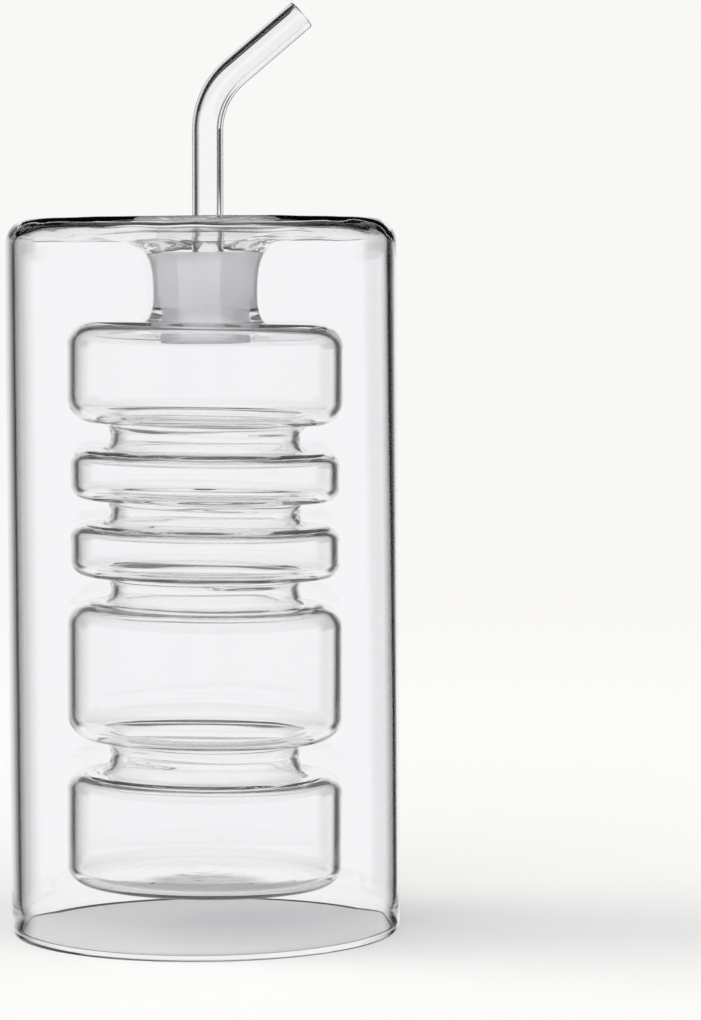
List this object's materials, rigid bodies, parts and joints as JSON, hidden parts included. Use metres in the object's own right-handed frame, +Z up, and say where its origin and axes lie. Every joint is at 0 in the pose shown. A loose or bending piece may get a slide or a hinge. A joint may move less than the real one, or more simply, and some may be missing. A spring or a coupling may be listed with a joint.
{
  "type": "oil and vinegar cruet",
  "caption": "Double-walled glass cruet: a ringed bottle hangs from the neck inside a straight open-bottomed sleeve, closed by a hollow ground stopper with a bent spout.",
  "frame": {"origin": "on the table, at the centre of the round bottom rim", "axes": "+Z up along the sleeve's axis, +X to the side that the spout points to, -Y towards the viewer of the picture"},
  "size_m": [0.08, 0.08, 0.1903],
  "materials": {
    "clear_glass": "clear, fire-polished, hand-blown borosilicate; the bore of the neck is ground to a fine frost",
    "stopper_glass": "clear, fire-polished tube and dome; the plug's cone is ground to a fine frost"
  },
  "bodies": {
    "bottle": {"double_wall_bottle": "clear_glass"},
    "stopper": {"spout_stopper": "stopper_glass"}
  },
  "joints": [
    {"name": "stopper_lift", "type": "slide", "parent": "bottle", "child": "stopper", "axis": [0, 0, 1], "range_m": [0, 0.03]}
  ]
}
